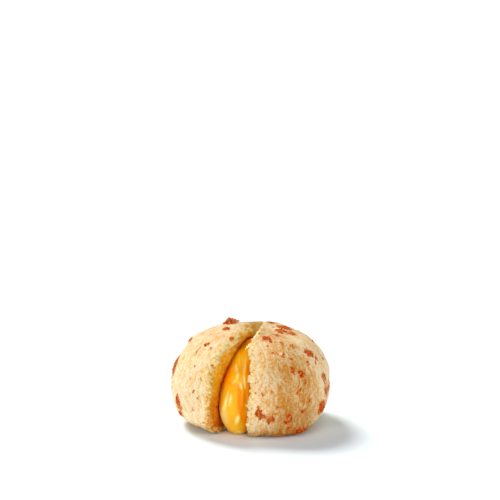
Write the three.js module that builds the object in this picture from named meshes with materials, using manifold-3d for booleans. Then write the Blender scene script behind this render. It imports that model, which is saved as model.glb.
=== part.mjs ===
// Pao de queijo: a round cheese bread, torn open at the front so that the molten cheese inside runs out of the tear.
// Units are millimetres and +Z is up. The origin is on the table under the middle of the bread, and the tear faces -Y.
import * as THREE from "three";
import { mergeVertices } from "three/addons/utils/BufferGeometryUtils.js";
import Module from "manifold-3d";

const wasm = await Module();
wasm.setup();

const { Vector3, MathUtils } = THREE;

// The dough is two round domes side by side, the halves of one ball that the tear has pushed apart, and a third one
// between them that keeps its back round.
// radii are half widths along x, y and z; roll leans a dome to the right, in degrees; base is how far its flat
// underside lies below its centre. A flat is a place where the side is less round: the way it faces, in degrees
// from +X towards +Z, and how far from the centre it lies.
const LEFT_DOME = {
  centre: new Vector3(-7.2, 0, 15.7),
  radii: new Vector3(24, 26, 24),
  roll: 13,
  base: 16.9,
  flats: [
    { facing: 109, distance: 24.1 },
    { facing: 151, distance: 25.4 },
  ],
};
const RIGHT_DOME = {
  centre: new Vector3(8.8, 0, 15),
  radii: new Vector3(22.5, 27.5, 25),
  roll: 0,
  base: 15,
  flats: [
    { facing: -45, distance: 20.9 },
    { facing: 82, distance: 25 },
  ],
};
const BACK_DOME = { centre: new Vector3(0.8, 2.2, 15), radii: new Vector3(26, 25, 22), roll: 0, base: 15, flats: [] };
const FOOT_ROUNDING = 3; // how softly a dome's side turns into its underside
const FLAT_ROUNDING = 5;
const DOME_BLEND = 4; // how softly the domes run together
const CORE = new Vector3(0.5, 1.5, 17); // a point deep inside the dough that sees all of its surface

// Unevenness of the crust: [wavelength, height].
const CRUST_WAVES = [
  [19, 0.45],
  [8, 0.22],
];

// The tear is a wedge between two torn walls that meet in a root near the middle of the bread. x is where a wall
// crosses y = 0 at the height TEAR_MIDDLE; yaw and lean are the degrees that it turns from +Y and leans from +Z, both
// towards +X.
const LEFT_WALL = { x: -0.7, yaw: 34.3, lean: 6.4 };
const RIGHT_WALL = { x: 3.1, yaw: 9, lean: 0 };
const TEAR_MIDDLE = 15.5;
const TEAR_ROOT_WIDTH = 0.7;
const TEAR_FRONT = -40;
const TEAR_BOTTOM = -6;
const TEAR_TOP = 48;
const TEAR_STEP = 2.4; // size of the facets on the torn walls
const TORN_WAVES = [
  [13, 0.5],
  [5.2, 0.45],
];

// The molten cheese: a flattened ball in the middle of the bread, and a tongue that runs down the tear to the table.
const CHEESE_CORE = { centre: new Vector3(-0.5, -0.5, 15), radii: new Vector3(15.5, 15, 17), below: 10 };
const CHEESE_CENTRE = new Vector3(-2.5, -7, 14);
const TONGUE = [
  { at: new Vector3(0.6, -4, 30.5), radius: 4 },
  { at: new Vector3(-1.4, -9, 26.5), radius: 5 },
  { at: new Vector3(-3.6, -12.6, 20.5), radius: 6.2 },
  { at: new Vector3(-5, -14.4, 14.5), radius: 6.6 },
  { at: new Vector3(-5.4, -14.6, 8.6), radius: 6.2 },
  { at: new Vector3(-4.6, -14.6, 3.6), radius: 4 },
];
const TONGUE_BLEND = 5;
const CHEESE_GAP = 0.35; // clearance between the cheese and the crumb

// Browned flakes of grated cheese that stand proud of the crust, seen from CORE: bearing in degrees from +X towards
// +Y, climb above the horizon, width, and height above the crust.
const FLAKES = [
  { bearing: 156, climb: 69, width: 5.4, height: 2.3 },
  { bearing: -155, climb: 63, width: 4.2, height: 0.7 },
  { bearing: 176, climb: 33, width: 3.4, height: 1.3 },
  { bearing: -144, climb: 37, width: 3.2, height: 0.6 },
  { bearing: -171, climb: 13, width: 5.4, height: 0.7 },
  { bearing: -154, climb: -12, width: 4.2, height: 0.7 },
  { bearing: -22, climb: 58, width: 5.4, height: 0.8 },
  { bearing: -70, climb: 54, width: 3.6, height: 0.7 },
  { bearing: -34, climb: 29, width: 3.4, height: 0.7 },
  { bearing: -52, climb: 12, width: 4.6, height: 0.6 },
  { bearing: -32, climb: -12, width: 3.8, height: 0.7 },
  { bearing: -76, climb: -16, width: 4.2, height: 0.7 },
  { bearing: -63, climb: -16, width: 3.4, height: 0.8 },
  { bearing: -50, climb: -26, width: 4.6, height: 0.7 },
];
const REAR_FLAKES = 12; // more flakes, spread evenly over the back
const FLAKE_SINK = 0.6; // share of a flake's thickness that lies in the crust

const DOUGH_DETAIL = 15; // subdivisions of the icosahedron behind each shape
const CHEESE_DETAIL = 8;
const FLAKE_DETAIL = 1;

const CRUST_COLOUR = "#ecd2a0";
const CHEESE_COLOUR = "#f5a11c";

const WAVE_COUNT = 6;
const GOLDEN_ANGLE = Math.PI * (3 - Math.sqrt(5));

// Even unevenness from a few sine waves that cross each other: between about -1 and 1, always the same at one point.
function waves(p, wavelength, seed) {
  let sum = 0;
  for (let i = 0; i < WAVE_COUNT; i++) {
    const height = 1 - (2 * i + 1) / WAVE_COUNT;
    const across = Math.sqrt(1 - height * height);
    const turn = i * GOLDEN_ANGLE + seed;
    const along = p.x * across * Math.cos(turn) + p.y * across * Math.sin(turn) + p.z * height;
    sum += Math.sin((2 * Math.PI * along) / (wavelength * (1 + 0.13 * i)) + seed * (i + 1));
  }
  return (sum * 2) / WAVE_COUNT;
}

const roughness = (p, list, seed) =>
  list.reduce((sum, [wavelength, height], i) => sum + height * waves(p, wavelength, seed + i), 0);

// Joins two distances with a fillet of size k: the smaller one where they differ, and less than both where they meet.
function smoothMin(a, b, k) {
  const near = Math.max(k - Math.abs(a - b), 0) / k;
  return Math.min(a, b) - (near * near * k) / 4;
}

const smoothMax = (a, b, k) => -smoothMin(-a, -b, k);

// Distance from p to an ellipsoid's surface along the line to its centre, negative inside.
const ellipsoid = (p, radii) => p.length() * (1 - 1 / p.clone().divide(radii).length());

function domeField(p, dome) {
  const own = p.clone().sub(dome.centre);
  const upright = own.clone().applyAxisAngle(new Vector3(0, 1, 0), -MathUtils.degToRad(dome.roll));
  let field = smoothMax(ellipsoid(upright, dome.radii), -upright.z - dome.base, FOOT_ROUNDING);
  for (const { facing, distance } of dome.flats) {
    const angle = MathUtils.degToRad(facing);
    field = smoothMax(field, own.x * Math.cos(angle) + own.z * Math.sin(angle) - distance, FLAT_ROUNDING);
  }
  return field;
}

// Negative inside the dough, before it is torn.
function doughField(p) {
  const halves = smoothMin(domeField(p, LEFT_DOME), domeField(p, RIGHT_DOME), DOME_BLEND);
  const round = smoothMin(halves, domeField(p, BACK_DOME), DOME_BLEND);
  return Math.max(round + roughness(p, CRUST_WAVES, 1), -p.z);
}

// Negative inside the molten cheese.
function cheeseField(p) {
  const own = p.clone().sub(CHEESE_CORE.centre);
  const radii = CHEESE_CORE.radii.clone();
  if (own.z < 0) radii.z = CHEESE_CORE.below;
  let field = ellipsoid(own, radii);
  for (const { at, radius } of TONGUE) field = smoothMin(field, p.distanceTo(at) - radius, TONGUE_BLEND);
  return Math.max(field, -p.z);
}

// How far the surface of a field lies from a centre inside it, along a direction.
function reach(field, centre, direction) {
  let near = 0;
  let far = 60;
  const p = new Vector3();
  while (far - near > 1e-4) {
    const middle = (near + far) / 2;
    p.copy(centre).addScaledVector(direction, middle);
    if (field(p) < 0) near = middle;
    else far = middle;
  }
  return near;
}

// Leaves only the positions, with shared vertices merged, as a boolean needs them.
function merged(geometry) {
  geometry.deleteAttribute("normal");
  geometry.deleteAttribute("uv");
  return mergeVertices(geometry, 1e-4);
}

function solid(geometry) {
  const mesh = new wasm.Mesh({
    numProp: 3,
    vertProperties: geometry.getAttribute("position").array,
    triVerts: new Uint32Array(geometry.getIndex().array),
  });
  return new wasm.Manifold(mesh);
}

// A closed geometry whose vertices lie on a field's surface, on even rays from a centre.
function rayGeometry(field, centre, detail) {
  const geometry = merged(new THREE.IcosahedronGeometry(1, detail));
  const points = geometry.getAttribute("position");
  const direction = new Vector3();
  for (let i = 0; i < points.count; i++) {
    direction.fromBufferAttribute(points, i).normalize();
    const point = centre.clone().addScaledVector(direction, reach(field, centre, direction));
    points.setXYZ(i, point.x, point.y, point.z);
  }
  return geometry;
}

function wallX({ x, yaw, lean }, y, z) {
  return x + y * Math.tan(MathUtils.degToRad(yaw)) + (z - TEAR_MIDDLE) * Math.tan(MathUtils.degToRad(lean));
}

// y where the two walls are TEAR_ROOT_WIDTH apart, at a height.
function tearRoot(z) {
  const gap = (y) => wallX(RIGHT_WALL, y, z) - wallX(LEFT_WALL, y, z);
  return (gap(0) - TEAR_ROOT_WIDTH) / (gap(0) - gap(1));
}

// The space between the torn walls: a box whose two sides are bent to the rough walls.
function tearGeometry() {
  const height = TEAR_TOP - TEAR_BOTTOM;
  const steps = (length) => Math.round(length / TEAR_STEP);
  const depth = tearRoot(TEAR_MIDDLE) - TEAR_FRONT;
  const geometry = merged(new THREE.BoxGeometry(1, 1, height, 1, steps(depth), steps(height)));
  const points = geometry.getAttribute("position");
  for (let i = 0; i < points.count; i++) {
    const wall = points.getX(i) < 0 ? LEFT_WALL : RIGHT_WALL;
    const z = points.getZ(i) + (TEAR_TOP + TEAR_BOTTOM) / 2;
    const root = tearRoot(z);
    const y = MathUtils.lerp(TEAR_FRONT, root, points.getY(i) + 0.5);
    const p = new Vector3(wallX(wall, y, z), y, z);
    const fade = MathUtils.clamp((root - y) / TEAR_STEP, 0, 1);
    p.x += fade * roughness(p, TORN_WAVES, wall === LEFT_WALL ? 3 : 5);
    points.setXYZ(i, p.x, p.y, p.z);
  }
  return geometry;
}

// One browned flake: a craggy lens that lies on the crust.
function flakeGeometry({ bearing, climb, width, height }, index) {
  const across = Math.cos(MathUtils.degToRad(climb));
  const direction = new Vector3(
    across * Math.cos(MathUtils.degToRad(bearing)),
    across * Math.sin(MathUtils.degToRad(bearing)),
    Math.sin(MathUtils.degToRad(climb)),
  );
  const thickness = height / (1 - FLAKE_SINK / 2);
  const out = reach(doughField, CORE, direction) + height - thickness / 2;
  const geometry = merged(new THREE.IcosahedronGeometry(1, FLAKE_DETAIL));
  const points = geometry.getAttribute("position");
  const p = new Vector3();
  for (let i = 0; i < points.count; i++) {
    p.fromBufferAttribute(points, i);
    p.multiplyScalar(1 + 0.22 * waves(p, 1.3, index));
    points.setXYZ(i, p.x, p.y, p.z);
  }
  const place = new THREE.Object3D();
  place.position.copy(CORE).addScaledVector(direction, out);
  place.quaternion.setFromUnitVectors(new Vector3(0, 0, 1), direction);
  place.rotateZ(index * GOLDEN_ANGLE);
  place.scale.set(width / 2, width / 2.6, thickness / 2);
  place.updateMatrix();
  return geometry.applyMatrix4(place.matrix);
}

// Flakes on the side away from the tear, spread by even steps of the golden angle.
function rearFlakes() {
  return Array.from({ length: REAR_FLAKES }, (_, i) => ({
    bearing: 5 + 150 * ((i * GOLDEN_ANGLE) / (2 * Math.PI) % 1),
    climb: -24 + (84 * (i + 0.5)) / REAR_FLAKES,
    width: 3.4 + 1.6 * Math.sin(i * 2.1) ** 2,
    height: 0.7 + 0.2 * Math.sin(i * 1.3),
  }));
}

const largest = (bodies) => bodies.reduce((a, b) => (b.volume() > a.volume() ? b : a));

function breadSolid() {
  let dough = solid(rayGeometry(doughField, CORE, DOUGH_DETAIL));
  [...FLAKES, ...rearFlakes()].forEach((flake, i) => {
    dough = dough.add(solid(flakeGeometry(flake, i + 1)));
  });
  const hollow = rayGeometry((p) => cheeseField(p) - CHEESE_GAP, CHEESE_CENTRE, CHEESE_DETAIL);
  const torn = dough.subtract(solid(tearGeometry())).subtract(solid(hollow));
  return largest(torn.decompose());
}

const cheeseSolid = () => solid(rayGeometry(cheeseField, CHEESE_CENTRE, CHEESE_DETAIL));

function meshOf(name, made, colour, roughnessShare) {
  const { vertProperties, triVerts } = made.getMesh();
  const geometry = new THREE.BufferGeometry();
  geometry.setAttribute("position", new THREE.BufferAttribute(vertProperties, 3));
  geometry.setIndex(new THREE.BufferAttribute(triVerts, 1));
  geometry.computeVertexNormals();
  const material = new THREE.MeshStandardMaterial({ color: colour, roughness: roughnessShare, metalness: 0 });
  const mesh = new THREE.Mesh(geometry, material);
  mesh.name = name;
  return mesh;
}

const cheeseBread = new THREE.Group();
cheeseBread.add(meshOf("bread", breadSolid(), CRUST_COLOUR, 0.8));
cheeseBread.add(meshOf("cheese_filling", cheeseSolid(), CHEESE_COLOUR, 0.2));

export default cheeseBread;
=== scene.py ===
"""Looks of the torn cheese bread: crust and crumb, the molten cheese in the tear, and loose crumbs.

Every shape is worked out in millimetres, in the frame of the CAD part, and scaled to metres when its
mesh is made. A shape is a field, a function of points that is negative inside, and a net of quads is
laid over where it is zero. In every function p holds points, one a row, and s is a material's Shader.
"""

import itertools
import math

import bmesh
import bpy
import numpy as np
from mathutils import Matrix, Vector


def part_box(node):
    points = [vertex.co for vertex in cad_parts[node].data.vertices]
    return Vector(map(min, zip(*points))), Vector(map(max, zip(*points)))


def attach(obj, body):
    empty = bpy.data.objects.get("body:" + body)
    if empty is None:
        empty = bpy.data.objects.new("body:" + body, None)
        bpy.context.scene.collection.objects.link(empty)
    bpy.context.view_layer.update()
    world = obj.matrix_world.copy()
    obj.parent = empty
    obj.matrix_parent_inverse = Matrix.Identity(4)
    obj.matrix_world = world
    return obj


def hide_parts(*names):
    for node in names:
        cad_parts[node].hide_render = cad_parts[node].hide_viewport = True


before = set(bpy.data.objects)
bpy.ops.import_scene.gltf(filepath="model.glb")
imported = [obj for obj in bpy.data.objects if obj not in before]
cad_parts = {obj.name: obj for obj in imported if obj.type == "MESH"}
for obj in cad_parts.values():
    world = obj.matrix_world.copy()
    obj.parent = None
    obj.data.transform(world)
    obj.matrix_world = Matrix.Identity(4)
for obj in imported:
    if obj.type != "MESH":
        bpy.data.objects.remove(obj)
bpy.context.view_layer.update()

METRES = 0.001  # metres in a millimetre

# --------------------------------------------------------------------------------------------------
# The dough's sizes, as in the CAD part
# --------------------------------------------------------------------------------------------------

# Half widths along x, y and z, a lean to the right in degrees, the depth of the flat underside below
# the centre, and flats: the way each faces, in degrees from +X towards +Z, and its distance from the
# centre.
LEFT_DOME = dict(
    centre=(-7.2, 0, 15.7), radii=(24, 26, 24), roll=13, base=16.9, flats=[(109, 24.1), (151, 25.4)]
)
RIGHT_DOME = dict(
    centre=(8.8, 0, 15), radii=(22.5, 27.5, 25), roll=0, base=15, flats=[(-45, 20.9), (82, 25)]
)
BACK_DOME = dict(centre=(0.8, 2.2, 15), radii=(26, 25, 22), roll=0, base=15, flats=[])
FOOT_ROUNDING = 3
FLAT_ROUNDING = 5
DOME_BLEND = 4
CRUST_WAVES = [(19, 0.45), (8, 0.22)]  # wavelength and height

# The torn walls: x at y = 0 and TEAR_MIDDLE, then degrees turned from +Y and leant from +Z, both
# towards +X.
LEFT_WALL = dict(x=-0.7, yaw=34.3, lean=6.4, waves_seed=3)
RIGHT_WALL = dict(x=3.1, yaw=9, lean=0, waves_seed=5)
TEAR_MIDDLE = 15.5
TORN_WAVES = [(13, 0.5), (5.2, 0.45)]

CHEESE_CORE = dict(centre=(-0.5, -0.5, 15), radii=(15.5, 15, 17), below=10)
TONGUE = [  # centre and radius of each ball
    ((0.6, -4, 30.5), 4),
    ((-1.4, -9, 26.5), 5),
    ((-3.6, -12.6, 20.5), 6.2),
    ((-5, -14.4, 14.5), 6.6),
    ((-5.4, -14.6, 8.6), 6.2),
    ((-4.6, -14.6, 3.6), 4),
]
TONGUE_BLEND = 5
CHEESE_GAP = 0.35

# --------------------------------------------------------------------------------------------------
# Finer shape
# --------------------------------------------------------------------------------------------------

CORE = np.array([0.5, 1.5, 17])  # bearings and climbs on the crust are seen from here
CORE_REACH = 27  # about how far the crust is from CORE
MARK_WIDTH = 0.28  # how wide a stretch mark in the crust is for its length

# How far each rim of the tear stands out from its flat wall, towards +X: (height, distance).
LEFT_RIM = [
    (0, 1.2), (3, -0.8), (7, -0.2), (11, 0.3), (18, -0.1), (22, -0.3), (25.8, -2.1), (28, -0.9),
    (29.4, 0.5), (33, -0.1), (34.6, 0.7), (36, 1.7), (37.2, 1.2), (38.4, -0.4), (39.5, -1.2),
]
RIGHT_RIM = [
    (0, 0.2), (2.5, -0.7), (5.6, -1.2), (8.6, -0.1), (11, 0.8), (12.6, 1.9), (13.8, 0.3), (16, -0.1),
    (17.7, 0.8), (20, 0.7), (21.5, 0.1), (23.2, -0.9), (25.2, -0.7), (28.2, -0.2), (29.8, 0.6),
    (31.6, -0.9), (35, -0.8), (37.5, 0.1), (39, 0.6),
]
RIM_DEPTH = (1.5, 7)  # the rim's shape fades out between these depths below the crust
RIM_ROUNDING = 1.3
RIM_PITS = [  # holes in the left rim: centre and radius
    ((-8.3, -15.6, 35.3), 1.5),
    ((-13.6, -20.6, 27.4), 1.0),
]
LEFT_RIM_WIDTH = (2.0, 5.0)  # of the crumbly band along the rim, low down and high up
RIGHT_RIM_WIDTH = 2.6
SHRED_HEIGHT = 11.2  # torn shreds hang from the right rim about here

TEAR_TOP_SLOPE = 1.7  # how far the left wall leans back at the tear's upper end
TEAR_TOP_HEIGHTS = (35.5, 38)  # it starts to lean and leans fully at these heights
TEAR_TOP_DEPTH = 6  # it leans no more at this depth below the crust
TEAR_TOP_SINK = 0.6  # the tear's upper end sinks by this much for each millimetre inwards
GOLDEN_TOP = (36.8, 38.8)  # between these heights the left wall's flour gives way to golden crumb

RIM_GRAIN = 0.5  # how far the grains of torn crumb stand out on the rims
WALL_GRAIN = 0.1  # and deep in the torn walls
PIT_SPACING = 2.5  # of the pits in the torn walls
PIT_DEPTH = 0.45
HOLLOW_ROUNDING = 0.4  # at the edge of the hollow for the cheese

# Ridges and creases of the cheese, as it is seen from the front: (x, z) points, half width, and height,
# which is below 0 for a crease.
STROKES = [
    ([(-9.4, 17.0), (-10.3, 13.0), (-10.6, 10.0)], 1.0, 0.7),
    ([(-7.2, 17.5), (-8.0, 14.0), (-8.4, 9.0), (-7.2, 5.5)], 2.6, 0.7),
    ([(-8.6, 17.8), (-9.1, 14.4), (-9.5, 10.8)], 0.6, -0.2),
    ([(-8.4, 22.0), (-6.0, 19.6), (-3.6, 19.4)], 1.6, -0.5),
    ([(-5.3, 26.8), (-5.0, 24.2), (-5.8, 21.8)], 1.1, 0.6),
    ([(-4.5, 21.0), (-4.2, 17.5), (-4.2, 11.0)], 0.8, -0.4),
    ([(-4.2, 8.8), (-5.1, 5.0)], 1.0, 0.6),
    ([(-3.5, 21.0), (-2.9, 18.0), (-3.2, 15.0)], 0.7, 0.55),
    ([(-1.6, 29.5), (-2.4, 25.0), (-2.0, 18.5)], 0.6, 0.55),
]
PAINTED_HIGHLIGHT_STREAKS = [  # painted highlights: lines painted paler where highlights fall, each (x, z) points, half width and strength
    ([(-8.3, 18.6), (-9.7, 13.6), (-10.2, 9.4)], 0.5, 0.9),
    ([(-9.6, 14.4), (-10.6, 11.4), (-10.7, 8.6)], 0.4, 0.9),
    ([(-7.4, 17.6), (-8.4, 12.4)], 0.45, 0.9),
    ([(-5.7, 27.4), (-5.5, 24.8)], 0.5, 1.0),
    ([(-5.0, 25.0), (-5.2, 22.4)], 0.55, 0.8),
    ([(-4.9, 23.4), (-7.6, 19.8)], 0.5, 0.4),
    ([(-4.4, 9.4), (-5.9, 4.8)], 0.7, 1.0),
    ([(-4.1, 22.0), (-3.6, 18.6)], 0.5, 0.9),
    ([(-2.9, 24.5), (-2.3, 21.0), (-2.2, 18.4)], 0.4, 0.7),
    ([(-1.8, 29.6), (-3.0, 24.0)], 0.45, 0.4),
    ([(-5.6, 1.6), (-3.0, 1.2)], 0.5, 0.8),
    ([(-10.8, 12.0), (-10.9, 7.6), (-9.4, 3.0)], 1.9, 0.6),
]
SHADED_CREASE_STREAKS = [  # painted shade: lines of deeper orange along the cheese's creases, likewise
    ([(-4.4, 22.0), (-3.6, 15.0), (-3.6, 6.0)], 1.6, 0.5),
    ([(-9.6, 21.0), (-5.2, 20.2), (-3.6, 16.0)], 0.9, 0.4),
]
STROKE_FRONT = -6  # such lines reach back no further than this y

CRAG = dict(centre=(-7.6, 5, 39.5), radii=(2.6, 2.0, 1.4))  # a heap of browned cheese on the top
CRAG_LUMPS = [  # its lumps: centre and radius
    ((-8.9, 4.8, 39.7), 1.0), ((-8.3, 5.4, 40.5), 0.75), ((-7.3, 4.6, 40.1), 0.9),
    ((-6.3, 5.2, 40.2), 0.65), ((-5.5, 4.7, 39.9), 0.7), ((-7.8, 4.2, 39.3), 1.0),
    ((-6.2, 4.6, 39.3), 0.9), ((-4.7, 5.0, 40.0), 0.45), ((-10.6, 4.6, 38.8), 0.7),
    ((-11.2, 4.9, 38.4), 0.55),
]
CRAG_BLEND = 0.4

# Browned cheese on the crust: bearing, climb, width across, width along the climb, and how dark it is.
BROWNED = [
    (-155, 63, 4.4, 3.0, 1.0), (-150, 77, 2.0, 1.4, 0.4), (-163, 49, 1.3, 1.1, 0.5),
    (176, 33, 3.8, 2.8, 0.9), (-179, 44, 1.4, 1.0, 0.5), (-172, 33, 1.2, 1.0, 0.6),
    (-144, 38, 2.8, 1.8, 0.9), (-147, 31, 1.0, 4.0, 0.6), (-134, 36, 1.5, 1.2, 0.4),
    (-172, 13, 6.5, 8.6, 0.8), (-155, -10, 3.2, 5.6, 0.85), (-156, -19, 3.6, 2.4, 1.0),
    (-133, -22, 2.6, 1.0, 0.4), (-118, 52, 1.6, 3.2, 0.7), (-3, 58, 8.0, 6.0, 1.0),
    (-31, 58, 5.4, 4.4, 1.0), (-24, 50, 5.0, 3.2, 0.9), (-50, 54, 2.0, 2.8, 0.6),
    (-10, 69, 2.4, 1.8, 0.5), (-69, 54, 3.7, 3.8, 1.0), (-67, 50, 1.7, 2.4, 0.9),
    (-73, 62, 1.7, 2.2, 0.7), (-71, 44, 1.3, 1.5, 0.9), (-56, 43, 1.4, 1.3, 0.6),
    (-47, 38, 2.6, 2.4, 0.5), (-70, 37, 0.9, 1.1, 0.5), (-66, 34, 1.0, 1.3, 0.45),
    (-61, 32, 1.5, 2.5, 0.5), (-56, 28, 1.1, 1.1, 0.7), (-56, 77, 1.8, 1.2, 0.6),
    (-33, 28, 4.4, 3.0, 1.0), (-35, 32, 2.2, 1.8, 0.8), (-28, 23, 2.6, 1.4, 0.8),
    (-31, 21, 1.7, 1.2, 0.5), (-7, 34, 2.8, 1.6, 0.6), (-16, 20, 1.8, 1.3, 0.5),
    (-40, 22, 1.2, 2.0, 0.4), (-51, 15, 2.9, 3.2, 1.0), (-58, 19, 1.5, 3.8, 0.6),
    (-42, 14, 1.7, 1.5, 0.4), (-25, 9, 4.4, 2.2, 0.5), (-50, 9, 1.3, 2.4, 0.6),
    (-65, 13, 1.2, 2.3, 0.5), (-56, 5, 1.0, 1.3, 0.7), (-57, 3, 2.1, 1.8, 0.5),
    (-26, 0, 3.6, 7.2, 0.65), (-18, 0, 3.5, 4.2, 0.6), (-33, -11, 4.6, 4.8, 1.0),
    (-85, 9, 1.3, 0.9, 0.35), (-81, 4, 1.8, 1.7, 0.4), (-75, 5, 1.2, 1.1, 0.4),
    (-87, 5, 1.0, 1.0, 0.4), (-71, -6, 1.3, 1.3, 0.7), (-65, -9, 1.3, 1.3, 0.65),
    (-72, -11, 1.0, 1.0, 0.45), (-48, -4, 1.6, 3.6, 0.4), (-52, -10, 2.8, 2.0, 0.4),
    (-85, -12, 2.6, 5.2, 0.85), (-81, -15, 2.0, 2.0, 0.7), (-76, -16, 2.9, 3.9, 1.0),
    (-61, -23, 2.2, 1.7, 0.7), (-50, -26, 6.2, 3.4, 1.0), (-67, -29, 3.8, 1.4, 0.7),
    (-85, -31, 1.1, 1.3, 0.5),
]
BLISTER = (-63, -15, 1.15)  # a ring of browned cheese: bearing, climb and radius
SPECKS = [  # small orange dots: bearing, climb
    (-143, 4), (-136, 2), (-131, -1.5), (-151, 3), (-137, -12), (-142, -8), (-126, -15),
    (-126, -11), (-124, 22), (-56, 43), (-70, 37), (-67, 35), (-140, 20), (-131, 12), (-150, -4),
    (-79, 24), (-82, 38), (-86, 12),
]
SPECK_DARKNESS = 0.42
REAR_PATCH_COUNT = 22  # seeded extras on the sides that are seen from behind
REAR_SPECK_COUNT = 60

BREAD_CELL = 0.44  # size of the quads in each net
CHEESE_CELL = 0.4
NET_MARGIN = 1.5  # how far a net's grid reaches past its CAD node, with room for relief
FINE_BAND = 2.2  # fine shape is worked out only this close to a field's zero
FIELD_PARTS = 8  # a field is worked out in this many parts, to save memory

RNG = np.random.default_rng(11)

# --------------------------------------------------------------------------------------------------
# Noise and fields
# --------------------------------------------------------------------------------------------------

LATTICE = 256  # slopes that noise picks from
SHUFFLE = RNG.permutation(LATTICE)
SLOPES = RNG.normal(size=(LATTICE, 3))
SLOPES /= np.linalg.norm(SLOPES, axis=1)[:, None]


def lattice_pick(cell):
    """A place in the table of slopes for each grid cell, mixed well but always the same."""
    mixed = SHUFFLE[cell[:, 0] % LATTICE]
    mixed = SHUFFLE[(mixed + cell[:, 1]) % LATTICE]
    return SHUFFLE[(mixed + cell[:, 2]) % LATTICE]


def noise(p, size, seed):
    """Smooth noise between about -1 and 1, with lumps about `size` across. Each use has its own seed."""
    q = p / size + 17.31 * seed
    cell = np.floor(q).astype(np.int64)
    near = q - cell
    ease = near**3 * (near * (near * 6 - 15) + 10)
    total = np.zeros(len(p))
    for corner in itertools.product((0, 1), repeat=3):
        slope = SLOPES[lattice_pick(cell + corner)]
        weight = np.prod(np.where(corner, ease, 1 - ease), axis=1)
        total += weight * ((near - corner) * slope).sum(1)
    return 1.7 * total


def bubbles(p, size, seed):
    """Distance to the nearest of a cloud of scattered points, as a share of their spacing."""
    q = p / size + 9.7 * seed
    cell = np.floor(q).astype(np.int64)
    nearest = np.full(len(p), np.inf)
    for step in itertools.product((-1, 0, 1), repeat=3):
        there = cell + step
        point = there + 0.5 + 0.42 * SLOPES[lattice_pick(there)]
        nearest = np.minimum(nearest, ((q - point) ** 2).sum(1))
    return np.sqrt(nearest)


WAVE_COUNT = 6
GOLDEN_ANGLE = math.pi * (3 - math.sqrt(5))


def waves(p, wavelength, seed):
    """The CAD part's gentle unevenness: a few sine waves that cross each other."""
    total = np.zeros(len(p))
    for i in range(WAVE_COUNT):
        height = 1 - (2 * i + 1) / WAVE_COUNT
        across = math.sqrt(1 - height * height)
        turn = i * GOLDEN_ANGLE + seed
        along = p @ np.array([across * math.cos(turn), across * math.sin(turn), height])
        total += np.sin(2 * math.pi * along / (wavelength * (1 + 0.13 * i)) + seed * (i + 1))
    return total * 2 / WAVE_COUNT


def wave_sum(p, table, seed):
    return sum(height * waves(p, wavelength, seed + i) for i, (wavelength, height) in enumerate(table))


def smooth_min(a, b, k):
    """The smaller of a and b, with a fillet of size k where they meet."""
    near = np.maximum(k - np.abs(a - b), 0) / k
    return np.minimum(a, b) - near * near * k / 4


def smooth_max(a, b, k):
    return -smooth_min(-a, -b, k)


def ramp(value, low, high):
    """0 below low, 1 above high, eased between."""
    t = np.clip((value - low) / (high - low), 0, 1)
    return t * t * (3 - 2 * t)


def ellipsoid(p, radii):
    """Distance to an ellipsoid round the origin, along the line to its centre."""
    return np.linalg.norm(p, axis=1) * (1 - 1 / np.maximum(np.linalg.norm(p / radii, axis=1), 1e-6))


def dome_field(p, dome):
    """An ellipsoid that leans, with its flat underside and its other flats."""
    own = p - dome["centre"]
    roll = math.radians(dome["roll"])
    x = own[:, 0] * math.cos(roll) - own[:, 2] * math.sin(roll)
    z = own[:, 0] * math.sin(roll) + own[:, 2] * math.cos(roll)
    upright = np.stack([x, own[:, 1], z], axis=1)
    field = smooth_max(ellipsoid(upright, np.array(dome["radii"])), -z - dome["base"], FOOT_ROUNDING)
    for facing, distance in dome["flats"]:
        angle = math.radians(facing)
        side = own[:, 0] * math.cos(angle) + own[:, 2] * math.sin(angle) - distance
        field = smooth_max(field, side, FLAT_ROUNDING)
    return field


def dough_field(p):
    """The untorn dough with the CAD part's unevenness."""
    halves = smooth_min(dome_field(p, LEFT_DOME), dome_field(p, RIGHT_DOME), DOME_BLEND)
    field = smooth_min(halves, dome_field(p, BACK_DOME), DOME_BLEND)
    return np.maximum(field + wave_sum(p, CRUST_WAVES, 1), -p[:, 2])


def wall_x(wall, y, z):
    """Where a torn wall would be if it were flat."""
    lean = (z - TEAR_MIDDLE) * math.tan(math.radians(wall["lean"]))
    return wall["x"] + y * math.tan(math.radians(wall["yaw"])) + lean


def beyond_wall(p, wall, rim, depth):
    """Distance from a torn wall towards +X. depth is how far below the crust each point lies."""
    x = wall_x(wall, p[:, 1], p[:, 2])
    on_wall = np.stack([x, p[:, 1], p[:, 2]], axis=1)
    x = x + wave_sum(on_wall, TORN_WAVES, wall["waves_seed"])
    heights, offsets = zip(*rim)
    x += np.interp(p[:, 2], heights, offsets) * (1 - ramp(depth, *RIM_DEPTH))
    return (p[:, 0] - x) * math.cos(math.radians(wall["yaw"]))


def tear_top_height(p, depth):
    """Height, counted so that the tear's upper end, which sinks inwards, is level."""
    return p[:, 2] + TEAR_TOP_SINK * depth


def wall_distances(p, depth):
    """Distances into the tear from its left and its right wall, negative inside the bread."""
    at_top = ramp(tear_top_height(p, depth), *TEAR_TOP_HEIGHTS)
    slope = TEAR_TOP_SLOPE * at_top * (1 - ramp(depth, 0, TEAR_TOP_DEPTH))
    left = beyond_wall(p, LEFT_WALL, LEFT_RIM, depth) + slope
    return left, -beyond_wall(p, RIGHT_WALL, RIGHT_RIM, depth)


def cheese_field(p):
    """The cheese: a core inside the bread, and a tongue that hangs out of the tear to the table."""
    own = p - CHEESE_CORE["centre"]
    radii = np.tile(np.array(CHEESE_CORE["radii"], float), (len(p), 1))
    radii[own[:, 2] < 0, 2] = CHEESE_CORE["below"]
    field = ellipsoid(own, radii)
    for centre, radius in TONGUE:
        field = smooth_min(field, np.linalg.norm(p - centre, axis=1) - radius, TONGUE_BLEND)
    return np.maximum(field, -p[:, 2])


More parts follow.
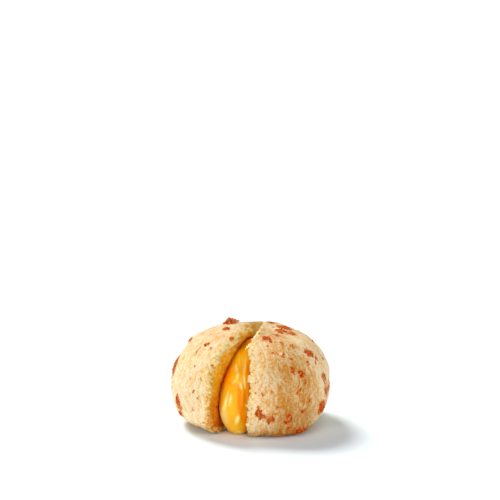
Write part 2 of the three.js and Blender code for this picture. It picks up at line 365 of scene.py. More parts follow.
# --------------------------------------------------------------------------------------------------
# The crust: bearings, grain and browned cheese
# --------------------------------------------------------------------------------------------------


def bearing_and_climb(p):
    """The direction in which each point is seen from CORE: from +X, and above the horizontal."""
    d = p - CORE
    return np.arctan2(d[:, 1], d[:, 0]), np.arctan2(d[:, 2], np.hypot(d[:, 0], d[:, 1]))


def grain(p):
    """Coordinates in which the dough's stretch marks, which run down from the top, are round lumps."""
    bearing, climb = bearing_and_climb(p)
    bearing = bearing + 0.05 * noise(p, 9, 31) + 0.028 * noise(p, 3.6, 32)
    along = MARK_WIDTH * CORE_REACH * climb
    return np.stack([CORE_REACH * np.cos(bearing), CORE_REACH * np.sin(bearing), along], axis=1)


def tan_level_with_painted_shade(p):
    """How tan the plain crust is: 0.12 left of the tear, more right of it, and 1 or more underneath.
    Part of it is painted shade over the front right and high on the left, and painted light far right.
    """
    bearing, climb = np.degrees(bearing_and_climb(p))
    # Over the front right the crust is darker, partly tan and partly painted shade; it fades far right
    # as painted light.
    front_right = ramp(bearing, -93, -62) * (1 - 0.95 * ramp(bearing, -54, -27))
    back = ramp(-np.abs(bearing - 85), -85, -40)
    level = 0.12 + np.maximum((0.74 - 0.36 * ramp(climb, 6, 42)) * front_right, 0.4 * back)
    level += 0.08 * front_right * (1 - ramp(climb, -15, 18))
    # Painted shade: a band high on the left is darker.
    level += 0.12 * ramp(climb, 15, 35) * (1 - ramp(climb, 50, 65)) * (1 - front_right)
    level += 0.6 * (1 - ramp(p[:, 2], 1.0, 5.5))
    under = 1 - ramp(p[:, 2], 0.2, 1.8)
    return np.maximum(level, under)


def rear_browned():
    """Browned cheese and specks on the back, by seeded draws."""
    patches = [
        (RNG.uniform(-5, 165), RNG.uniform(-32, 74), *RNG.uniform(1.2, 4.6, 2), RNG.uniform(0.5, 1))
        for _ in range(REAR_PATCH_COUNT)
    ]
    specks = [(RNG.uniform(-5, 200), RNG.uniform(-30, 75)) for _ in range(REAR_SPECK_COUNT)]
    return patches, specks


REAR_BROWNED, REAR_SPECKS = rear_browned()


def patch_distance(bearing, climb, patch):
    """0 at a patch's middle and 1 at its edge."""
    at_bearing, at_climb, across, along = patch
    turn = np.angle(np.exp(1j * (bearing - math.radians(at_bearing))))
    x = turn * np.cos(climb) * CORE_REACH * 2 / across
    y = (climb - math.radians(at_climb)) * CORE_REACH * 2 / along
    return np.hypot(x, y)


def browning(p):
    """How browned the crust is at each point, from 0 to 1."""
    wobble = [0.8 * noise(p, 2.4, i) + 0.5 * noise(p, 1.1, i + 3) for i in (41, 42, 43)]
    bearing, climb = bearing_and_climb(p + np.stack(wobble, axis=1))
    brown = np.zeros(len(p))
    for *place, darkness in BROWNED + REAR_BROWNED:
        inside = 1 - ramp(patch_distance(bearing, climb, place), 0.35, 1.35)
        brown = np.maximum(brown, darkness * inside)
    at_bearing, at_climb, radius = BLISTER
    ring = (at_bearing, at_climb, 2 * radius, 2 * radius)
    off_ring = np.abs(patch_distance(bearing, climb, ring) - 0.85)
    brown = np.maximum(brown, 1 - ramp(off_ring, 0.15, 0.65))
    for at_bearing, at_climb in SPECKS + REAR_SPECKS:
        size = 1.0 + 0.5 * math.sin(7 * at_bearing)  # an even mix of sizes from 0.5 to 1.5
        inside = 1 - ramp(patch_distance(bearing, climb, (at_bearing, at_climb, size, size)), 0.4, 1.4)
        brown = np.maximum(brown, SPECK_DARKNESS * inside)
    return brown


def ridges(p):
    """Thin wavy ridges that run down the crust: about 1 on their crests and below 0 between them."""
    lines = grain(p)
    wide = 1 - 3.2 * np.abs(noise(lines, 2.2, 1))
    narrow = 1 - 3.2 * np.abs(noise(lines, 1.3, 2))
    return 0.45 * wide + 0.6 * narrow


def lumps(p):
    """Grains of torn crumb, from about -1 to 1."""
    return 0.75 * noise(p, 1.9, 8) + 0.55 * noise(p, 1.1, 9)


def crust_relief(p):
    """How far the crust stands out from the plain dough."""
    relief = (0.04 + 0.13 * tan_level_with_painted_shade(p)) * ridges(p)
    relief += 0.07 * noise(p, 3.1, 3)
    relief += 0.06 * noise(p, 1.3, 4)
    return relief + browning(p) * (0.2 + 0.35 * noise(p, 1.2, 5))


def crag_field(p):
    """The crag's lumps, run together and roughened."""
    field = np.full(len(p), np.inf)
    for centre, radius in CRAG_LUMPS:
        field = smooth_min(field, np.linalg.norm(p - centre, axis=1) - radius, CRAG_BLEND)
    return field + 0.25 * noise(p, 1.1, 7)


# --------------------------------------------------------------------------------------------------
# The bread and the cheese as fields, first plain and then fine
# --------------------------------------------------------------------------------------------------


def rim_share(p, left, right):
    """1 at the rims of the tear, fading to 0 along the crust, and widest at the top left."""
    low, high = LEFT_RIM_WIDTH
    width = np.where(left < right, low + (high - low) * ramp(p[:, 2], 18, 27), RIGHT_RIM_WIDTH)
    return 1 - ramp(-np.minimum(left, right), 0.3, width)


def bread_field(p, fine=False):
    """The bread, torn open and hollow. fine adds its ridges, grains and pits and the crag's lumps."""
    dough = dough_field(p)
    depth = -dough
    left, right = wall_distances(p, depth)
    gap = np.minimum(left, right)
    if fine:
        rim = rim_share(p, left, right)
        grains = lumps(p)
        dough = np.maximum(dough - (1 - rim) * crust_relief(p) - RIM_GRAIN * rim * grains, -p[:, 2])
        dough = smooth_min(dough, crag_field(p), CRAG_BLEND)
        gap -= (WALL_GRAIN + (RIM_GRAIN - WALL_GRAIN) * (1 - ramp(depth, 0.8, 3.5))) * grains
        pits = 1 - ramp(bubbles(p, PIT_SPACING, 10), 0.2, 0.42)
        gap += PIT_DEPTH * pits * ramp(depth, 0.4, 1.4)
    else:
        dough = np.minimum(dough, ellipsoid(p - CRAG["centre"], np.array(CRAG["radii"]) + 1))
    for centre, radius in RIM_PITS:
        gap = np.maximum(gap, radius - np.linalg.norm(p - centre, axis=1))
    torn = smooth_max(dough, gap, RIM_ROUNDING)
    return smooth_max(torn, CHEESE_GAP - cheese_field(p), HOLLOW_ROUNDING)


def stroke(p, points, width):
    """1 along a line of (x, z) points, as seen from the front, fading to 0 beside it and at its ends."""
    weight = np.zeros(len(p))
    for i, ((x0, z0), (x1, z1)) in enumerate(itertools.pairwise(points)):
        dx, dz = x1 - x0, z1 - z0
        share = np.clip(((p[:, 0] - x0) * dx + (p[:, 2] - z0) * dz) / (dx * dx + dz * dz), 0, 1)
        taper = np.sin(math.pi * (i + share) / (len(points) - 1)) ** 0.6
        off = np.hypot(p[:, 0] - x0 - share * dx, p[:, 2] - z0 - share * dz)
        off = off / (width * (0.3 + 0.7 * taper))
        weight = np.maximum(weight, taper * np.exp(-off * off))
    return weight * (p[:, 1] < STROKE_FRONT)


def folds(p):
    """How far the cheese stands out from its plain form, in folds at its right, ridges and creases."""
    side = p[:, 0] + 0.22 * (p[:, 2] - 14) + 4.2
    sway = p[:, 0] + 0.5 * np.sin(p[:, 2] / 4.3)
    rope = np.stack([sway, p[:, 1] * 0.25, p[:, 2] * 0.16], axis=1)
    amount = ramp(side, 0.2, 2.6)
    relief = amount * (0.5 * noise(rope, 2.0, 12) + 0.2 * noise(rope, 1.0, 13)) + 0.22 * noise(p, 8, 14)
    for points, width, height in STROKES:
        relief += height * stroke(p, points, width)
    return relief


def molten_field(p, fine=False):
    """The cheese. fine adds its folds, ridges and creases."""
    field = cheese_field(p)
    if fine:
        field = np.maximum(field - folds(p), -p[:, 2])
    return field


# --------------------------------------------------------------------------------------------------
# From a field to a mesh
# --------------------------------------------------------------------------------------------------

CORNERS = list(itertools.product((0, 1), repeat=3))  # of a grid cell
EDGES = [(a, b) for a, b in itertools.combinations(CORNERS, 2) if math.dist(a, b) == 1]


def sampled(field, low, cell, shape):
    """A field's values on a grid: plain everywhere, and fine near its zero."""
    steps = [low[i] + cell * np.arange(shape[i]) for i in range(3)]
    points = np.stack(np.meshgrid(*steps, indexing="ij"), axis=-1).reshape(-1, 3)
    values = np.concatenate([field(part) for part in np.array_split(points, FIELD_PARTS)])
    close = np.nonzero(np.abs(values) < FINE_BAND)[0]
    fine_parts = [field(points[part], fine=True) for part in np.array_split(close, FIELD_PARTS)]
    values[close] = np.concatenate(fine_parts)
    return values.reshape(shape)


def cell_points(values, cells):
    """The mean point, within each cell, of where the field's zero crosses its edges."""
    at = {c: values[tuple((cells + c).T)] for c in CORNERS}
    total = np.zeros((len(cells), 3))
    count = np.zeros(len(cells))
    for a, b in EDGES:
        crossed = (at[a] < 0) != (at[b] < 0)
        share = at[a] / np.where(crossed, at[a] - at[b], 1)
        point = np.array(a) + share[:, None] * (np.array(b) - np.array(a))
        total[crossed] += point[crossed]
        count += crossed
    return total / count[:, None]


def net_quads(solid, number):
    """A quad round each grid edge that crosses the surface, facing out. number is each cell's vertex."""
    quads = []
    for axis in range(3):
        order = (axis, (axis + 1) % 3, (axis + 2) % 3)
        here = np.moveaxis(solid, order, (0, 1, 2))
        cell = np.moveaxis(number, order, (0, 1, 2))
        start, end = here[:-1, 1:-1, 1:-1], here[1:, 1:-1, 1:-1]
        ring = np.stack([cell[:, :-1, :-1], cell[:, 1:, :-1], cell[:, 1:, 1:], cell[:, :-1, 1:]], -1)
        quads.append(ring[start & ~end])
        quads.append(ring[~start & end][:, ::-1])
    return np.concatenate(quads)


def net(field, low, high, cell):
    """Vertices and quads of a surface net over a field's zero."""
    low = np.array(low, float)
    shape = tuple(np.ceil((np.array(high) - low) / cell).astype(int) + 1)
    values = sampled(field, low, cell, shape)
    solid = values < 0
    inside = np.zeros([n - 1 for n in shape], np.int8)
    for x, y, z in CORNERS:
        inside += solid[x:shape[0] - 1 + x, y:shape[1] - 1 + y, z:shape[2] - 1 + z]
    cells = np.argwhere((inside > 0) & (inside < len(CORNERS)))
    number = np.full(inside.shape, -1)
    number[tuple(cells.T)] = np.arange(len(cells))
    return low + cell * (cells + cell_points(values, cells)), net_quads(solid, number)


def largest_piece(vertices, quads):
    """Leaves out scraps that float free of the main surface."""
    label = np.arange(len(vertices))
    while True:
        lowest = label[quads].min(axis=1)
        lower = label.copy()
        np.minimum.at(lower, quads, lowest[:, None])
        lower = lower[lower]
        if (lower == label).all():
            break
        label = lower
    main = np.bincount(label).argmax()
    kept = label == main
    order = np.cumsum(kept) - 1
    return vertices[kept], order[quads[kept[quads[:, 0]]]]


def mesh_object(name, vertices, faces, attributes):
    """A new object in metres. attributes are names with a number or a vector for each vertex."""
    mesh = bpy.data.meshes.new(name)
    mesh.from_pydata((vertices * METRES).tolist(), [], faces.tolist())
    for label, values in attributes:
        kind, key = ("FLOAT", "value") if values.ndim == 1 else ("FLOAT_VECTOR", "vector")
        layer = mesh.attributes.new(label, kind, "POINT")
        layer.data.foreach_set(key, values.astype(np.float32).ravel())
    mesh.shade_smooth()
    piece = bpy.data.objects.new(name, mesh)
    bpy.context.scene.collection.objects.link(piece)
    return piece


# --------------------------------------------------------------------------------------------------
# Materials
# --------------------------------------------------------------------------------------------------


def linear(red, green, blue):
    """A display colour, 0 to 255, as the linear colour that a shader takes."""
    shares = np.array([red, green, blue]) / 255
    curve = np.where(shares <= 0.04045, shares / 12.92, ((shares + 0.055) / 1.055) ** 2.4)
    return (*curve.tolist(), 1.0)


class Shader:
    """A small helper that adds nodes to a material and joins them."""

    def __init__(self, name):
        self.material = bpy.data.materials.new(name)
        self.material.use_nodes = True
        self.nodes = self.material.node_tree.nodes
        self.links = self.material.node_tree.links
        self.skin = self.nodes["Principled BSDF"]
        self.place = self.nodes.new("ShaderNodeTexCoord").outputs["Object"]

    def feed(self, socket, value):
        """Joins a node's output to a socket, or sets a plain value there."""
        if isinstance(value, bpy.types.NodeSocket):
            self.links.new(value, socket)
        else:
            socket.default_value = value

    def finish(self, **values):
        for label, value in values.items():
            self.feed(self.skin.inputs[label.replace("_", " ")], value)
        return self.material

    def attribute(self, label, output="Fac"):
        node = self.nodes.new("ShaderNodeAttribute")
        node.attribute_name = label
        return node.outputs[output]

    def noise(self, size, detail, rough, vector=None, stretch=None):
        """Noise with lumps about `size` millimetres across, from 0 to 1."""
        unit = 1 / METRES if vector is None else 1
        vector = self.place if vector is None else vector
        if stretch:
            scaled = self.nodes.new("ShaderNodeMapping")
            scaled.inputs["Scale"].default_value = stretch
            self.links.new(vector, scaled.inputs["Vector"])
            vector = scaled.outputs["Vector"]
        node = self.nodes.new("ShaderNodeTexNoise")
        node.inputs["Scale"].default_value = unit / size
        node.inputs["Detail"].default_value = detail
        node.inputs["Roughness"].default_value = rough
        self.links.new(vector, node.inputs["Vector"])
        return node.outputs["Fac"]

    def math(self, operation, a, b):
        node = self.nodes.new("ShaderNodeMath")
        node.operation = operation
        self.feed(node.inputs[0], a)
        self.feed(node.inputs[1], b)
        return node.outputs[0]

    def times(self, a, b):
        return self.math("MULTIPLY", a, b)

    def sum(self, first, *rest):
        for value in rest:
            first = self.math("ADD", first, value)
        return first

    def spread(self, value, amount):
        """Noise from 0 to 1 as noise around 0, times amount."""
        return self.times(self.math("SUBTRACT", value, 0.5), amount)

    def between(self, value, low, high, out_low=0.0, out_high=1.0):
        """out_low where value is at low, out_high where it is at high, eased between."""
        node = self.nodes.new("ShaderNodeMapRange")
        node.interpolation_type = "SMOOTHSTEP"
        self.feed(node.inputs["Value"], value)
        node.inputs["From Min"].default_value = low
        node.inputs["From Max"].default_value = high
        node.inputs["To Min"].default_value = out_low
        node.inputs["To Max"].default_value = out_high
        return node.outputs["Result"]

    def mix(self, share, a, b):
        node = self.nodes.new("ShaderNodeMix")
        node.data_type = "RGBA"
        self.feed(node.inputs["Factor"], share)
        self.feed(node.inputs["A"], a)
        self.feed(node.inputs["B"], b)
        return node.outputs["Result"]

    def colours(self, value, *stops):
        """A colour from a row of (position, display colour) stops."""
        node = self.nodes.new("ShaderNodeValToRGB")
        row = node.color_ramp.elements
        while len(row) < len(stops):
            row.new(1.0)
        for element, (position, colour) in zip(row, stops):
            element.position = position
            element.color = linear(*colour)
        self.feed(node.inputs["Fac"], value)
        return node.outputs["Color"]

    def bump(self, height, distance):
        """distance is the relief's height in millimetres."""
        node = self.nodes.new("ShaderNodeBump")
        node.inputs["Strength"].default_value = 1.0
        node.inputs["Distance"].default_value = distance * METRES
        self.feed(node.inputs["Height"], height)
        return node.outputs["Normal"]


def crust_texture(s, lines, tan_with_painted_shade):
    """Stretch marks and pores, as noise around 0 that is high where the crust is honey coloured."""
    marks = s.sum(s.spread(s.noise(2.4, 1, 0.5, lines), 0.9), s.spread(s.noise(1.1, 3, 0.9, lines), 4.0))
    texture = s.sum(marks, s.spread(s.noise(0.9, 3, 0.9), 3.4), s.times(s.attribute("crest"), -0.2))
    return s.times(texture, s.between(tan_with_painted_shade, 0.15, 0.65, 0.7, 1.05))


def crust_colour(s, texture, tan_with_painted_shade, tint):
    """Cream with honey in it, both darker where the tan is higher, which is partly painted shade, and
    dots of golden cheese.
    """
    grooves = s.sum(0.3, s.times(tan_with_painted_shade, 0.5), texture, s.times(tint, -0.12))
    cream = s.colours(tan_with_painted_shade, (0.0, (255, 241, 210)), (0.5, (242, 223, 184)), (1.0, (218, 186, 126)))
    honey = s.colours(tan_with_painted_shade, (0.0, (245, 189, 88)), (0.5, (222, 150, 30)), (1.0, (190, 114, 8)))
    crust = s.mix(s.between(grooves, -0.4, 1.4), cream, honey)
    dots = s.between(s.noise(1.4, 1, 0.5), 0.62, 0.7, 0.0, 0.5)
    return s.mix(dots, crust, linear(236, 158, 40))


def lay_crumb(s, surface, depth, lump, tint):
    """Torn crumb: cream on its crests and golden between them, and deep orange next to the cheese,
    partly soaked in cheese and partly painted shade of the gap.
    """
    breaks = s.spread(s.noise(1.1, 4, 0.7), 4.0)
    rough_rim = s.sum(s.times(lump, -1.1), breaks)
    bare = s.math("MAXIMUM", s.sum(depth, -1.0, rough_rim), s.sum(s.attribute("opened"), rough_rim))
    grains = s.sum(s.spread(s.noise(0.8, 4, 0.75), 1.2), s.times(lump, -0.3), s.times(tint, -0.3))
    soaked = s.attribute("soaked")
    soaking = s.sum(soaked, s.times(grains, s.between(soaked, 0.3, 0.8, 1.0, 0.45)))
    crumb = s.colours(
        soaking,
        (0.0, (255, 236, 166)),
        (0.22, (253, 208, 84)),
        (0.48, (248, 176, 26)),
        (0.75, (242, 138, 4)),
        (1.0, (224, 94, 0)),
    )
    # deep orange next to the cheese: partly soaked crumb, partly painted shade of the gap
    cheese_soak_and_gap_shade = s.between(s.attribute("near_cheese"), 1.9, 0.2, 0.0, 0.7)
    crumb = s.mix(cheese_soak_and_gap_shade, crumb, linear(222, 84, 0))
    return s.mix(s.between(bare, 0.1, 0.9), surface, crumb)


def lay_flour(s, surface, lump):
    """A pale, floury edge along the tear."""
    floury = s.attribute("floury")
    flecks = s.sum(floury, s.times(lump, 1.2), s.spread(s.noise(1.0, 4, 0.8), 2.4))
    flour = s.times(s.between(flecks, 0.45, 0.8), s.between(floury, 0.0, 0.25))
    whiteness = s.sum(s.noise(1.2, 4, 0.9), s.times(floury, 0.09), -0.07)
    pale = s.colours(whiteness, (0.44, (244, 172, 60)), (0.49, (255, 221, 138)), (0.55, (255, 233, 184)))
    return s.mix(flour, surface, pale)


def broken_browning(s, lines):
    """How browned each spot is, broken up into crumbs at the patches' edges."""
    brown = s.attribute("brown")
    crumbling = s.sum(s.spread(s.noise(1.2, 4, 0.8), 3.2), s.spread(s.noise(1.4, 3, 0.7, lines), 2.0))
    return s.sum(brown, s.times(crumbling, s.between(brown, 0.0, 0.25)))


def lay_browned_cheese(s, surface, browned):
    """Browned cheese, from toasted orange to a deep red brown."""
    scorch = s.sum(s.times(browned, 0.5), s.spread(s.noise(0.9, 4, 0.75), 3.4))
    toasted = s.colours(
        scorch,
        (0.0, (240, 164, 76)),
        (0.2, (230, 124, 38)),
        (0.42, (228, 96, 4)),
        (0.65, (208, 60, 0)),
        (0.9, (174, 36, 0)),
    )
    return s.mix(s.between(browned, 0.13, 0.3), surface, toasted)


def crust_material():
    s = Shader("crust_and_crumb")
    lines = s.attribute("grain", "Vector")
    # the crust's tan, partly painted shade and painted light
    tan_with_painted_shade = s.attribute("tan_with_painted_shade")
    depth = s.attribute("depth")
    lump = s.attribute("lump")
    tint = s.attribute("tint")
    texture = crust_texture(s, lines, tan_with_painted_shade)
    browned = broken_browning(s, lines)

    surface = crust_colour(s, texture, tan_with_painted_shade, tint)
    surface = lay_crumb(s, surface, depth, lump, tint)
    surface = lay_flour(s, surface, lump)
    surface = lay_browned_cheese(s, surface, browned)

    inner = s.times(s.between(depth, 0.2, 1.2), s.noise(0.8, 4, 0.75))
    crisp = s.times(s.between(browned, 0.3, 0.7), s.noise(0.8, 3, 0.7))
    relief = s.sum(s.times(texture, -0.4), inner, s.times(crisp, 1.2))
    return s.finish(
        Base_Color=surface,
        Roughness=s.between(s.noise(1.6, 3, 0.5), 0.3, 0.7, 0.55, 0.75),
        Normal=s.bump(relief, 0.5),
        Specular_IOR_Level=0.15,
        Subsurface_Weight=0.25,
        Subsurface_Radius=(1.0, 0.85, 0.7),
        Subsurface_Scale=0.8 * METRES,
    )


def cheese_material():
    s = Shader("molten_cheese")
    swirl = s.spread(s.noise(3.6, 2, 0.5, stretch=(1.0, 1.0, 0.3)), 0.6)
    # deep is painted shade: deeper orange beside the walls, at the top end and along creases
    colour = s.colours(
        s.sum(0.06, s.attribute("deep"), swirl),
        (0.0, (255, 190, 36)),
        (0.25, (255, 170, 8)),
        (0.5, (252, 146, 0)),
        (0.8, (250, 122, 0)),
        (1.0, (255, 106, 0)),
    )
    # painted highlights: paler yellow along the streaks that the pale attribute marks
    colour = s.mix(s.times(s.attribute("pale"), 0.9), colour, linear(255, 240, 160))
    return s.finish(
        Base_Color=colour,
        Roughness=s.between(s.noise(3.0, 2, 0.55), 0.3, 0.7, 0.06, 0.11),
        Normal=s.bump(s.noise(3.0, 2, 0.5, stretch=(1.0, 1.0, 0.35)), 0.12),
        Specular_IOR_Level=0.45,
        Specular_Tint=(1.0, 0.85, 0.32, 1.0),
        Subsurface_Weight=0.6,
        Subsurface_Radius=(2.0, 1.0, 0.15),
        Subsurface_Scale=1.6 * METRES,
    )


# --------------------------------------------------------------------------------------------------
# The pieces
# --------------------------------------------------------------------------------------------------


def net_span(node):
    """The lowest and highest corners, in millimetres, of the grid for a net round a CAD node."""
    low, high = (np.array(corner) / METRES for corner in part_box(node))
    return low - NET_MARGIN, high + NET_MARGIN


def crag_browning(p):
    """How browned the crag is: less on its right."""
    off = ellipsoid(p - CRAG["centre"], np.array(CRAG["radii"]))
    right_side = ramp(p[:, 0] - CRAG["centre"][0], -1.0, 2.5)
    return (1 - ramp(off, 0.4, 1.4)) * (0.8 - 0.5 * right_side)


def bread_attributes(p, tint=0.0):
    """What the crust's material needs to know of each point."""
    height = p[:, 2]
    depth = -dough_field(p)
    left, right = wall_distances(p, depth)
    near_cheese = cheese_field(p)
    gap = np.minimum(left, right)
    in_left = left < right
    rim = rim_share(p, left, right)
    top = ramp(tear_top_height(p, depth), *GOLDEN_TOP)
    left_flour = (0.55 + 0.6 * ramp(height, 20, 27)) * (1 - top)
    right_flour = ramp(height, 0.5, 5.0) + 0.6 * ramp(height, 28, 34)
    soaked = 0.04 + 0.2 * (1 - ramp(near_cheese, 0.3, 8)) + 0.38 * (1 - ramp(height, 3, 36))
    soaked += 0.25 * ramp(depth, 0, 3)
    soaked += (0.36 - soaked) * top
    return [
        ("grain", grain(p)),
        ("brown", np.maximum(browning(p), crag_browning(p))),
        ("depth", depth),
        ("near_cheese", near_cheese),
        ("soaked", soaked),
        ("floury", np.where(in_left, left_flour, right_flour) * rim * (1 - ramp(depth, 0.8, 3.0))),
        ("opened", np.where(in_left, 0.6, -0.6) - 0.6 * np.minimum(-gap, 6)),
        ("crest", ridges(p)),
        ("lump", lumps(p)),
        # the crust's tan, partly painted shade and painted light
        ("tan_with_painted_shade", tan_level_with_painted_shade(p) + np.where(in_left, 0.25 * rim * (1 - top), 0)),
        ("tint", np.zeros(len(p)) + tint),
    ]


def make_bread():
    vertices, quads = largest_piece(*net(bread_field, *net_span("bread"), BREAD_CELL))
    vertices[:, 2] = np.maximum(vertices[:, 2], 0)
    piece = mesh_object("torn_bread", vertices, quads, bread_attributes(vertices))
    piece.data.materials.append(crust_material())
    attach(piece, "root")
    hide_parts("bread")
    return piece


CRUMB_STEP = 3.7  # how far on in the noise each crumb takes its lumps from


def scattered(points, count, spacing):
    """Up to count of the points, drawn in a seeded order, no two closer than spacing."""
    chosen = np.empty((0, 3))
    for point in points[RNG.permutation(len(points))]:
        if len(chosen) == count:
            break
        if not len(chosen) or np.linalg.norm(chosen - point, axis=1).min() > spacing:
            chosen = np.vstack([chosen, point])
    return chosen


def crumb_places(bread):
    """Where loose crumbs stick, on rims, torn walls, browned cheese and the crag, and their radii."""
    vertices = np.empty(len(bread.data.vertices) * 3)
    bread.data.vertices.foreach_get("co", vertices)
    p = vertices.reshape(-1, 3) / METRES
    height = p[:, 2]
    facts = dict(bread_attributes(p))
    depth = facts["depth"]
    left, right = wall_distances(p, depth)
    gap = np.minimum(left, right)
    seen = (height > 1.2) & (height < 37) & (facts["near_cheese"] > 0.7) & (gap > -0.7)
    rim = seen & (np.abs(depth - 0.5) < 0.9)
    wall = seen & (depth > 1.2) & (depth < 10)
    shreds = rim & (right < left) & (p[:, 1] < 0) & (np.abs(height - SHRED_HEIGHT) < 2.2)
    toasted = (facts["brown"] > 0.55) & (height > 1.5) & (depth < 0.3)
    ball = RNG.normal(size=(80, 3))
    ball *= (RNG.uniform(0.2, 1, 80) ** (1 / 3) / np.linalg.norm(ball, axis=1))[:, None]
    crag = np.array(CRAG["centre"]) + 0.9 * np.array(CRAG["radii"]) * ball
    groups = [  # points, how many, spacing, smallest and largest radius
        (p[rim], 300, 0.7, 0.3, 0.75),
        (p[wall], 220, 0.8, 0.2, 0.5),
        (p[shreds], 26, 0.6, 0.4, 0.85),
        (p[toasted], 330, 0.7, 0.2, 0.42),
        (crag, 70, 0.45, 0.3, 0.65),
    ]
    places = []
    for points, count, spacing, small, large in groups:
        for point in scattered(points, count, spacing):
            places.append((point, small + (large - small) * RNG.uniform() ** 2))
    return places


def make_crumbs(bread):
    shape = bmesh.new()
    bmesh.ops.create_icosphere(shape, subdivisions=2, radius=1)
    ball = np.array([v.co for v in shape.verts])
    ball_faces = np.array([[v.index for v in face.verts] for face in shape.faces])
    shape.free()
    vertices, faces, tints = [], [], []
    for i, (centre, radius) in enumerate(crumb_places(bread)):
        lumpy = ball * (1 + 0.5 * noise(ball + CRUMB_STEP * i, 0.9, 21))[:, None]
        turn = np.linalg.qr(RNG.normal(size=(3, 3)))[0]
        turn *= np.sign(np.linalg.det(turn))
        stretch = np.array([RNG.uniform(0.9, 1.9), *RNG.uniform(0.55, 1.0, 2)])
        vertices.append(centre + radius * (lumpy * stretch) @ turn)
        faces.append(ball_faces + len(ball) * i)
        tints.append(np.full(len(ball), RNG.uniform(-1, 1)))
    vertices, faces = np.concatenate(vertices), np.concatenate(faces)
    piece = mesh_object("crumbs", vertices, faces, bread_attributes(vertices, np.concatenate(tints)))
    piece.data.materials.append(bread.data.materials[0])
    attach(piece, "root")


def painted_shade_orange(p):
    """How far the cheese deepens to orange, as painted shade: beside the walls, which shade it, at the
    tear's upper end and along its creases.
    """
    height = p[:, 2]
    left, right = wall_distances(p, -dough_field(p))
    # painted shade beside the walls, left out low on the left
    beside_left = (1 - ramp(left, -0.5, 4.0)) * ramp(height, 15, 22)
    beside_right = 1 - ramp(right, -0.5, 3.0)
    deep = np.maximum(0.8 * beside_left, 0.7 * beside_right) * (1 - 0.8 * ramp(height, 24, 30))
    # painted shade at the tear's upper end
    deep = np.maximum(deep, 0.4 * ramp(height, 29, 34))
    for points, width, strength in SHADED_CREASE_STREAKS:
        deep = np.maximum(deep, strength * stroke(p, points, width))
    return deep


def painted_highlight_share(p):
    """How far the cheese is painted paler, as painted highlights along the streaks where highlights
    fall.
    """
    pale = np.zeros(len(p))
    for points, width, strength in PAINTED_HIGHLIGHT_STREAKS:
        pale = np.maximum(pale, strength * stroke(p, points, width))
    return pale


def make_cheese():
    vertices, quads = largest_piece(*net(molten_field, *net_span("cheese_filling"), CHEESE_CELL))
    vertices[:, 2] = np.maximum(vertices[:, 2], 0)
    # pale carries painted highlights, and deep carries painted shade
    attributes = [("deep", painted_shade_orange(vertices)), ("pale", painted_highlight_share(vertices))]
    piece = mesh_object("molten_cheese", vertices, quads, attributes)
    piece.data.materials.append(cheese_material())
    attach(piece, "root")
    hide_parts("cheese_filling")


# --------------------------------------------------------------------------------------------------
# Camera, light and floor
# --------------------------------------------------------------------------------------------------

PHOTO_SIZE = 500  # pixels each way
BREAD_IN_PHOTO = (250.75, 378)  # pixel on which the bread's middle falls
MIDDLE_HEIGHT = 18
CAMERA_DISTANCE = 700
CAMERA_CLIMB = math.radians(15)
PIXEL = 0.395  # millimetres that a pixel covers at the bread
SENSOR = 36

WHITE = (1.0, 1.0, 1.0)
WARM = (1.01, 1.0, 0.97)
SKY = (0.99, 1.0, 1.02)
SKY_STRENGTH = 0.055
STRIP_CLIMBS = (4, 11, 18, 25)  # a tall, narrow softbox at the left, as suns one above the other
SUNS = [("strip", -130, climb, 0.21, 7, WHITE) for climb in STRIP_CLIMBS] + [
    ("overhead", -125, 66, 0.06, 8, WHITE),
    ("upper_right", -62, 58, 0.5, 40, WHITE),
    ("left", -172, 12, 0.4, 40, WHITE),
    ("front", -99, 15, 0.86, 60, WHITE),
    ("front_fill", -44, 5, 0.85, 50, WHITE),
    ("right", -8, 10, 0.9, 50, WHITE),
    ("back", 129, 50, 3.1, 23, WARM),
]

FLOOR_REACH = 8.0  # metres from the middle to each side
FLOOR_COLOUR = (0.87, 0.95, 1, 1)


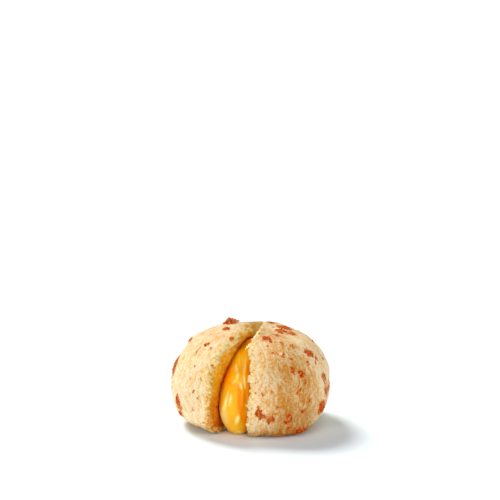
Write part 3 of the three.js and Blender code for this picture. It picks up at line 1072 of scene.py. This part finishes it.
def make_camera():
    data = bpy.data.cameras.new("camera")
    camera = bpy.data.objects.new("camera", data)
    bpy.context.scene.collection.objects.link(camera)
    focal = CAMERA_DISTANCE / PIXEL  # in pixels
    data.sensor_width = SENSOR
    data.lens = focal / PHOTO_SIZE * SENSOR
    data.clip_start = 10 * METRES
    pitch = CAMERA_CLIMB - math.atan((BREAD_IN_PHOTO[1] - PHOTO_SIZE / 2) / focal)
    aside = (BREAD_IN_PHOTO[0] - PHOTO_SIZE / 2) * PIXEL
    behind = CAMERA_DISTANCE * math.cos(CAMERA_CLIMB)
    above = CAMERA_DISTANCE * math.sin(CAMERA_CLIMB)
    camera.location = Vector((-aside, -behind, MIDDLE_HEIGHT + above)) * METRES
    camera.rotation_euler = (math.pi / 2 - pitch, 0, 0)
    bpy.context.scene.camera = camera


def add_sun(name, bearing, climb, strength, softness, colour):
    """A sun that shines from a bearing and a climb above the floor, and is softness wide, in degrees."""
    data = bpy.data.lights.new(name, "SUN")
    data.energy = strength
    data.angle = math.radians(softness)
    data.color = colour
    sun = bpy.data.objects.new(name, data)
    turn, rise = math.radians(bearing), math.radians(climb)
    towards = Vector((math.cos(rise) * math.cos(turn), math.cos(rise) * math.sin(turn), math.sin(rise)))
    sun.rotation_euler = towards.to_track_quat("Z", "Y").to_euler()
    bpy.context.scene.collection.objects.link(sun)


def make_light():
    world = bpy.data.worlds.new("studio")
    world.use_nodes = True
    background = world.node_tree.nodes["Background"]
    background.inputs["Color"].default_value = (*SKY, 1)
    background.inputs["Strength"].default_value = SKY_STRENGTH
    bpy.context.scene.world = world
    for sun in SUNS:
        add_sun(*sun)


def make_floor():
    mesh = bpy.data.meshes.new("floor")
    corners = [(x * FLOOR_REACH, y * FLOOR_REACH, 0) for x, y in ((-1, -1), (1, -1), (1, 1), (-1, 1))]
    mesh.from_pydata(corners, [], [(0, 1, 2, 3)])
    floor = bpy.data.objects.new("floor", mesh)
    bpy.context.scene.collection.objects.link(floor)
    s = Shader("pale_floor")
    paint = s.finish(Base_Color=FLOOR_COLOUR, Roughness=0.9, Specular_IOR_Level=0.0)
    floor.data.materials.append(paint)


make_camera()
make_crumbs(make_bread())
make_cheese()
make_light()
make_floor()
scene = bpy.context.scene
scene.view_settings.view_transform = "Standard"
scene.view_settings.look = "None"
